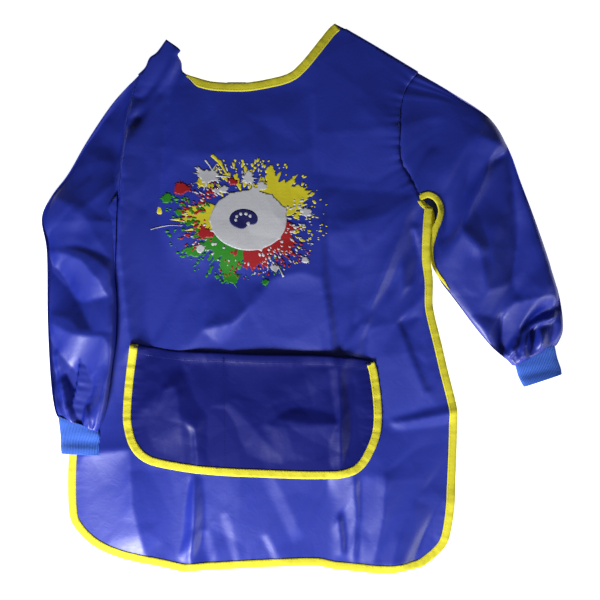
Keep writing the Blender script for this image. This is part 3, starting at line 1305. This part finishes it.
class SMOCK_OT_left_sleeve(bpy.types.Operator):
    """Makes the wearer's left sleeve, its underarm tape and its cuff"""
    bl_idname = "smock.left_sleeve"
    bl_label = "Left sleeve"

    def execute(self, context):
        thick = context.scene.smock_sizes.cloth / MM
        top, bottom = sleeve_points(LEFT_SLEEVE, LEFT_FAR_LINE, LEFT_RELIEF, LEFT_RANDOM, 21,
                                    VENT_START)
        cloth = thick_tube("left_sleeve_cloth", ring_grid(top, bottom), thick, royal())
        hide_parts("left_sleeve", "left_sleeve_head")
        upper = height_lookup(top.reshape(-1, 3))
        vent = np.linspace(VENT_START + 0.025, 1, 160)
        edge = np.vstack([across(LEFT_SLEEVE[0][0], vent), [(157.5, 37), (164, 26), (176, 11)]])
        edge = spaced(edge, 1.6)
        share = run_lengths(edge) / run_lengths(edge)[-1]
        narrow = 0.78 - 0.42 * smooth((share - 0.45) / 0.3)
        narrow = narrow * (1 - 0.75 * smooth((share - 0.9) / 0.1))
        near, near_row = bound_edge("left_vent_tape", edge, upper, 0.25, 36,
                                    left_of(edge) * narrow[:, None])
        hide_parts("left_vent_binding")
        far_edge = spaced(across(LEFT_FAR_LINE, vent), 1.6)
        far, far_row = bound_edge("left_vent_far_tape", far_edge,
                                  lambda xy: np.full(len(xy), 3.2), 0, 37,
                                  left_of(far_edge) * 0.5)
        pieces = [near, near_row, far, far_row]
        tube, ribs = cuff("left_cuff_knit", LEFT_CUFF, "left_cuff")
        blend_all([cloth] + pieces, "left_arm", **LEFT_FOLD)
        ride_all((tube, ribs), "left_arm")
        return {"FINISHED"}


class SMOCK_OT_right_sleeve(bpy.types.Operator):
    """Makes the wearer's right sleeve, which hangs over the side, and its cuff"""
    bl_idname = "smock.right_sleeve"
    bl_label = "Right sleeve"

    def execute(self, context):
        thick = context.scene.smock_sizes.cloth / MM
        top, bottom = sleeve_points(RIGHT_SLEEVE, RIGHT_SLEEVE[0][0], RIGHT_RELIEF,
                                    RIGHT_RANDOM, 22, 1.0, RIGHT_SLEEVE_TILT)
        cloth = thick_tube("right_sleeve_cloth", ring_grid(top, bottom), thick, royal())
        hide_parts("right_upper_sleeve", "right_lower_sleeve")
        low, high = (np.array(c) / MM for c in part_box("right_vent_binding"))
        edge = spaced([(high[0], high[1]), ((low[0] + high[0]) / 2 + 3, (low[1] + high[1]) / 2),
                       (low[0] + 8, low[1])], 2.0)
        near, near_row = bound_edge("right_vent_tape", edge, lambda xy: np.full(len(xy), 2.4),
                                    0, 38, -left_of(edge))
        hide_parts("right_vent_binding")
        pieces = [near, near_row]
        tube, ribs = cuff("right_cuff_knit", RIGHT_CUFF, "right_cuff")
        blend_all([cloth] + pieces + [tube, ribs], "right_arm", **RIGHT_FOLD)
        return {"FINISHED"}


# ---- print ----

PRINT_CENTRE = (-64, 94)
OVAL_X, OVAL_Y = 46, 36  # half width and half height of the white oval
FAN_ROUGHNESS = 0.1
FILM_THICK = 0.5


def round_outline(centre, x, y, a):
    """Points round a centre at angles a, with a half width and half height for each."""
    return np.column_stack([centre[0] + x * np.cos(a), centre[1] + y * np.sin(a)])


def splash(rng, centre, across_x, across_y, spikes, reach, rough):
    """The outline of a splash of paint: a rough blob with pointed streaks."""
    a = np.linspace(0, 2 * math.pi, 260, endpoint=False)
    r = 1 + rough * sum(np.sin(k * a + rng.uniform(0, 6.3)) / k ** 0.6 for k in (2, 3, 5, 8, 13))
    for _ in range(spikes):
        b = rng.uniform(0, 2 * math.pi)
        gap = (a - b + math.pi) % (2 * math.pi) - math.pi
        wide = rng.uniform(0.02, 0.06)
        r = r + rng.uniform(0.15, 1) * reach * np.exp(-np.abs(gap / wide) ** 1.3)
    return round_outline(centre, across_x * r, across_y * r, a)


def drop(rng, centre, size, stretch=1.0, angle=0.0):
    """A drop of paint, drawn out along its flight."""
    count = 14 if size < 3 else 24
    a = np.linspace(0, 2 * math.pi, count, endpoint=False)
    x = size * stretch * np.cos(a) * (1 + 0.12 * np.sin(a * 2 + rng.uniform(0, 6)))
    y = size * np.sin(a) * (1 + 0.3 * np.cos(a))
    c, s = math.cos(angle), math.sin(angle)
    return np.column_stack([centre[0] + c * x - s * y, centre[1] + s * x + c * y])


def spray(rng, centre, angles, reach, count, sizes, stretch=2.2):
    """Drops flung outwards, smaller the further they fly."""
    out = []
    for _ in range(count):
        a = math.radians(rng.uniform(*angles))
        far = rng.uniform(0, 1) ** 0.8
        r = reach[0] + (reach[1] - reach[0]) * far
        size = rng.uniform(*sizes) * (1.15 - 0.6 * far)
        c = (centre[0] + OVAL_X * r * math.cos(a), centre[1] + OVAL_Y * r * math.sin(a))
        out.append(drop(rng, c, size, rng.uniform(1, stretch), a + rng.normal(0, 0.2)))
    return out


def fan(rng, centre, angles, inner, outer, teeth):
    """Paint flung outwards from the oval in one sector, ending in streaks."""
    a0, a1 = (math.radians(v) for v in angles)
    a = np.linspace(a0, a1, 150)
    share = (a - a0) / (a1 - a0)
    r = inner + (outer - inner) * 0.62 * np.sin(math.pi * share) ** 0.35
    rough = sum(np.sin(k * (a - a0) * 6 + rng.uniform(0, 6.3)) / k for k in (1, 2, 4))
    r = r + FAN_ROUGHNESS * rough * np.sin(math.pi * share)
    for _ in range(teeth):
        b = rng.uniform(a0 + 0.04, a1 - 0.04)
        r = r + rng.uniform(0.2, 1) * (outer - inner) * 0.4 * np.exp(
            -np.abs((a - b) / rng.uniform(0.015, 0.04)) ** 1.4)
    edge = round_outline(centre, OVAL_X * r, OVAL_Y * r, a)
    root = round_outline(centre, OVAL_X * 0.86, OVAL_Y * 0.86, a[::-6])
    return np.vstack([edge, root])


def strand(points, widths):
    """A thin drawn-out line of paint."""
    line = spaced(curve(points), 2.0)
    w = np.interp(np.linspace(0, 1, len(line)), np.linspace(0, 1, len(widths)), widths)[:, None] / 2
    side = left_of(line)
    return np.vstack([line + side * w, (line - side * w)[::-1]])


def film(name, shapes, height, finish, node_name):
    """Ink on the cloth: a thin film that follows the front's relief."""
    obj = sheet(name, shapes, 1.7, lambda xy: front_z(xy) + height, FILM_THICK, finish)
    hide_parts(node_name)
    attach(obj, "front")
    return obj


class SMOCK_OT_print(bpy.types.Operator):
    """Makes the chest print: splashes of paint round a white oval with a palette"""
    bl_idname = "smock.print"
    bl_label = "Print"

    def execute(self, context):
        c = context.scene.smock_colours
        centre = PRINT_CENTRE
        rng = np.random.default_rng(5)
        white = [splash(rng, centre, OVAL_X, OVAL_Y, 14, 0.1, 0.008),
                 splash(rng, (-113, 147), 10, 9, 16, 1.3, 0.2),
                 splash(rng, (-94, 131), 6, 4, 10, 1.3, 0.2),
                 splash(rng, (-64, 145), 5, 9, 12, 1.2, 0.2),
                 splash(rng, (-48, 135), 5, 6, 9, 1.4, 0.2),
                 splash(rng, (5, 104), 7, 5, 9, 1.2, 0.16),
                 splash(rng, (-122, 60), 5, 5, 6, 0.8, 0.1),
                 splash(rng, (4, 46), 4, 4, 6, 0.8, 0.1),
                 splash(rng, (-33, 37), 5, 4, 6, 1.2, 0.1),
                 strand([(-182, 83), (-172, 86), (-158, 88), (-144, 87)], [0.9, 1.2, 0.8, 0.6]),
                 strand([(-22, 26), (-26, 34), (-29, 41)], [2.6, 1.5, 0.5]),
                 strand([(-116, 166), (-110, 158), (-106, 150)], [2.4, 1.5, 1.0])]
        white += spray(rng, centre, (-80, -5), (1.05, 1.95), 90, (0.6, 1.5))
        white += spray(rng, centre, (-20, 30), (1.05, 1.6), 26, (0.8, 1.9))
        white += spray(rng, centre, (70, 150), (1.05, 1.95), 34, (0.7, 1.8), 3)
        white += spray(rng, centre, (150, 290), (1.1, 1.8), 34, (0.6, 1.7))
        film("print_white_film", white, 0.5, ink("White ink", c.ink_white),
             "print_white")
        yellow_shapes = [fan(rng, centre, (150, 206), 1.0, 1.85, 8),
                         fan(rng, centre, (8, 82), 1.0, 1.75, 24),
                         splash(rng, (-118, 140), 8, 6, 7, 0.8, 0.12),
                         strand([(-37, 160), (-34, 148), (-28, 134)], [3.4, 4.6, 5]),
                         strand([(-108, 172), (-98, 162), (-88, 146)], [4.5, 3.4, 2])]
        yellow_shapes += spray(rng, centre, (62, 132), (1.1, 2.1), 110, (0.9, 2.7))
        yellow_shapes += spray(rng, centre, (-20, 62), (1.2, 2.1), 70, (0.8, 2.3))
        yellow_shapes += spray(rng, centre, (-50, -20), (1.3, 1.9), 12, (0.8, 1.8))
        film("print_yellow_film", yellow_shapes, 0.3, ink("Yellow ink", c.ink_yellow),
             "print_yellow")
        green_shapes = [fan(rng, centre, (203, 268), 1.0, 1.75, 22),
                        splash(rng, (-163, 121), 6, 6, 8, 0.7, 0.15),
                        splash(rng, (-130, 57), 11, 6, 9, 0.8, 0.15),
                        splash(rng, (-86, 27), 10, 8, 10, 0.8, 0.15),
                        splash(rng, (-44, 20), 4, 4, 5, 0.8, 0.1),
                        splash(rng, (-148, 104), 4, 4, 6, 0.8, 0.1)]
        green_shapes += spray(rng, centre, (155, 262), (1.15, 2.2), 170, (0.8, 2.6))
        green_shapes += spray(rng, centre, (262, 300), (1.3, 2.0), 16, (0.8, 2.2))
        film("print_green_film", green_shapes, 0.36, ink("Green ink", c.ink_green),
             "print_green")
        red_shapes = [fan(rng, centre, (-66, -2), 0.98, 1.5, 16),
                      fan(rng, centre, (262, 296), 0.98, 1.8, 10),
                      splash(rng, (-145, 132), 8, 8, 10, 0.7, 0.15),
                      splash(rng, (-115, 78), 9, 6, 8, 0.8, 0.15),
                      splash(rng, (-83, 140), 6, 4, 6, 0.8, 0.15)]
        red_shapes += spray(rng, centre, (120, 215), (1.1, 1.85), 90, (0.8, 2.4))
        red_shapes += spray(rng, centre, (245, 330), (1.1, 1.95), 80, (0.8, 2.2))
        film("print_red_film", red_shapes, 0.4, ink("Red ink", c.ink_red), "print_red")
        self.palette(c)
        return {"FINISHED"}

    def palette(self, c):
        """A palette with white paint wells and a thumb hole."""
        low, high = (np.array(v[:2]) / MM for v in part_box("print_palette"))
        middle, half = (low + high) / 2, (high - low) / 2
        a = np.linspace(0, 2 * math.pi, 90, endpoint=False)
        gap = (a - 5.236 + math.pi) % (2 * math.pi) - math.pi
        r = 1 - 0.35 * np.exp(-(gap / 0.384) ** 2)
        body = round_outline(middle, half[0] * r, half[1] * r, a)
        film("print_palette_film", [body], 0.62, ink("Navy ink", c.ink_navy),
             "print_palette")
        wells = [middle + half * 0.56 * np.array([math.cos(b), math.sin(b)])
                 for b in np.radians(35 + 38 * np.arange(5))]
        rng = np.random.default_rng(9)
        dots = [drop(rng, w, 2.0) for w in wells] + [drop(rng, middle + half * [0.33, -0.4], 2.3)]
        pale = sheet("palette_wells_film", dots, 1.2, lambda xy: front_z(xy) + 0.74, 0.3,
                     ink("White ink", c.ink_white))
        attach(pale, "front")


# ---- settings and panel ----

def colour(name, about, default):
    return bpy.props.FloatVectorProperty(name=name, description=about, subtype="COLOR", size=3,
                                         default=default, min=0, max=1)


def length(name, about, default):
    return bpy.props.FloatProperty(name=name, description=about, default=default, min=0,
                                   unit="LENGTH", subtype="DISTANCE", precision=5)


class SmockSizes(bpy.types.PropertyGroup):
    """Sizes that a maker would change."""
    cloth: length("Cloth", "Thickness of the coated nylon", 0.00035)
    tape_width: length("Tape width", "Width of the folded yellow tape", 0.0088)
    stitch_pitch: length("Stitch pitch", "Distance from one stitch to the next", 0.0034)
    stitch_length: length("Stitch length", "Length of one stitch", 0.0027)
    thread: length("Thread", "Thickness of the thread", 0.0005)
    rib_pitch: length("Rib pitch", "Distance between the ribs of the knit", 0.0019)


class SmockColours(bpy.types.PropertyGroup):
    """Colours of the cloth, the tape and the inks."""
    royal: colour("Royal", "Coated nylon of the body and sleeves", (0.006, 0.022, 0.35))
    navy: colour("Navy", "Coated nylon of the pocket", (0.004, 0.008, 0.16))
    tape: colour("Tape", "Yellow tape round the edges", (0.72, 0.66, 0.03))
    knit: colour("Knit", "Knitted cuffs", (0.05, 0.15, 0.64))
    white: colour("White", "White satin of the label", (0.78, 0.79, 0.80))
    ink_white: colour("White ink", "Oval and white splashes", (0.50, 0.51, 0.55))
    ink_yellow: colour("Yellow ink", "Yellow splashes", (0.62, 0.55, 0.02))
    ink_red: colour("Red ink", "Red splashes", (0.34, 0.010, 0.014))
    ink_green: colour("Green ink", "Green splashes", (0.02, 0.22, 0.012))
    ink_navy: colour("Navy ink", "Palette", (0.01, 0.01, 0.10))
    closure: colour("Closure", "Hook and loop patches", (0.02, 0.02, 0.09))
    table: colour("Table", "Table top", (0.84, 0.84, 0.85))


OPERATORS = (SMOCK_OT_stage, SMOCK_OT_backs, SMOCK_OT_front, SMOCK_OT_pocket, SMOCK_OT_seams,
             SMOCK_OT_left_sleeve, SMOCK_OT_right_sleeve, SMOCK_OT_print)


class SMOCK_PT_panel(bpy.types.Panel):
    """Lists the smock's pieces"""
    bl_idname = "SMOCK_PT_panel"
    bl_label = "Smock"
    bl_space_type = "VIEW_3D"
    bl_region_type = "UI"
    bl_category = "Smock"

    def draw(self, context):
        layout = self.layout
        for group in (context.scene.smock_sizes, context.scene.smock_colours):
            for key in group.__annotations__:
                layout.prop(group, key)
        for operator in OPERATORS:
            layout.operator(operator.bl_idname)


CLASSES = (SmockSizes, SmockColours) + OPERATORS + (SMOCK_PT_panel,)


def register():
    for c in CLASSES:
        bpy.utils.register_class(c)
    bpy.types.Scene.smock_sizes = bpy.props.PointerProperty(type=SmockSizes)
    bpy.types.Scene.smock_colours = bpy.props.PointerProperty(type=SmockColours)


def unregister():
    del bpy.types.Scene.smock_sizes
    del bpy.types.Scene.smock_colours
    for c in reversed(CLASSES):
        bpy.utils.unregister_class(c)


def main():
    register()
    for operator in OPERATORS:
        group, name = operator.bl_idname.split(".")
        getattr(getattr(bpy.ops, group), name)()


if __name__ == "__main__":
    main()
